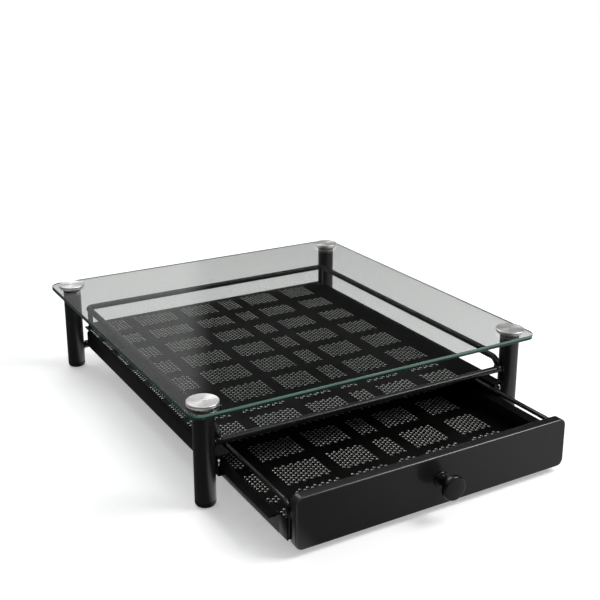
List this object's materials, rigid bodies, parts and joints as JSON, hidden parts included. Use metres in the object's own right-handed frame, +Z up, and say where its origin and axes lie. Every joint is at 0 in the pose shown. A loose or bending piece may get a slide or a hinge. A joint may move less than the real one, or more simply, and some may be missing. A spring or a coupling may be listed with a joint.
{
  "type": "coffee pod drawer",
  "caption": "Low black metal stand with a clear glass top on tube legs, a perforated shelf with a wire guard rail, and a sliding tray for coffee pods behind a flat front with a knob.",
  "frame": {"origin": "on the floor plane under the middle of the bounding box, with the tray drawn out 90 mm as modelled", "axes": "+X to the right seen from the knob side, +Y to the back, +Z up; the knob faces -Y"},
  "size_m": [0.333, 0.4524, 0.0876],
  "materials": {
    "clear_glass": "clear tempered float glass with polished edges that look dark green",
    "satin_black_tube": "satin black powder coat on steel tube",
    "gloss_black_wire": "glossy black coat on round steel wire",
    "black_sheet": "satin black coat on thin steel sheet",
    "charcoal_panel": "satin charcoal coat on a flat steel front",
    "black_plastic": "smooth satin black moulded plastic",
    "black_rubber": "matt black rubber",
    "white_nylon": "plain white nylon",
    "zinc_steel": "bright zinc plated steel",
    "spun_silver": "spun brushed silver metal with fine concentric lines",
    "clear_plastic": "clear soft plastic washer"
  },
  "bodies": {
    "stand": {"glass_top": "clear_glass", "leg_front_left": "satin_black_tube", "leg_front_right": "satin_black_tube", "leg_rear_left": "satin_black_tube", "leg_rear_right": "satin_black_tube", "foot_front_left": "black_plastic", "foot_front_right": "black_plastic", "foot_rear_left": "black_plastic", "foot_rear_right": "black_plastic", "insert_front_left": "zinc_steel", "insert_front_right": "zinc_steel", "insert_rear_left": "zinc_steel", "insert_rear_right": "zinc_steel", "cap_front_left": "spun_silver", "cap_front_right": "spun_silver", "cap_rear_left": "spun_silver", "cap_rear_right": "spun_silver", "cap_studs": "zinc_steel", "leg_washers": "clear_plastic", "cap_pads": "clear_plastic", "shelf_deck": "black_sheet", "guard_rail": "gloss_black_wire", "post_left": "gloss_black_wire", "post_right": "gloss_black_wire", "front_bar": "gloss_black_wire", "rear_bar": "gloss_black_wire", "channel_left": "black_sheet", "channel_right": "black_sheet", "channel_screws": "zinc_steel", "stop_left": "black_sheet", "stop_right": "black_sheet"},
    "drawer": {"front_panel": "charcoal_panel", "panel_screws": "zinc_steel", "knob": "black_plastic", "knob_rosette": "black_plastic", "knob_screw": "zinc_steel", "tray_floor": "black_sheet", "tray_wall_left": "black_sheet", "tray_wall_right": "black_sheet", "tray_wall_back": "black_sheet", "tray_rim": "gloss_black_wire", "rim_posts": "gloss_black_wire", "tray_bumpers": "black_rubber", "slide_strip_left": "white_nylon", "slide_strip_right": "white_nylon", "glide_block_left": "white_nylon", "glide_block_right": "white_nylon"}
  },
  "joints": [
    {"name": "drawer_slide", "type": "slide", "parent": "stand", "child": "drawer", "axis": [0, -1, 0], "range_m": [-0.09, 0.143]}
  ]
}
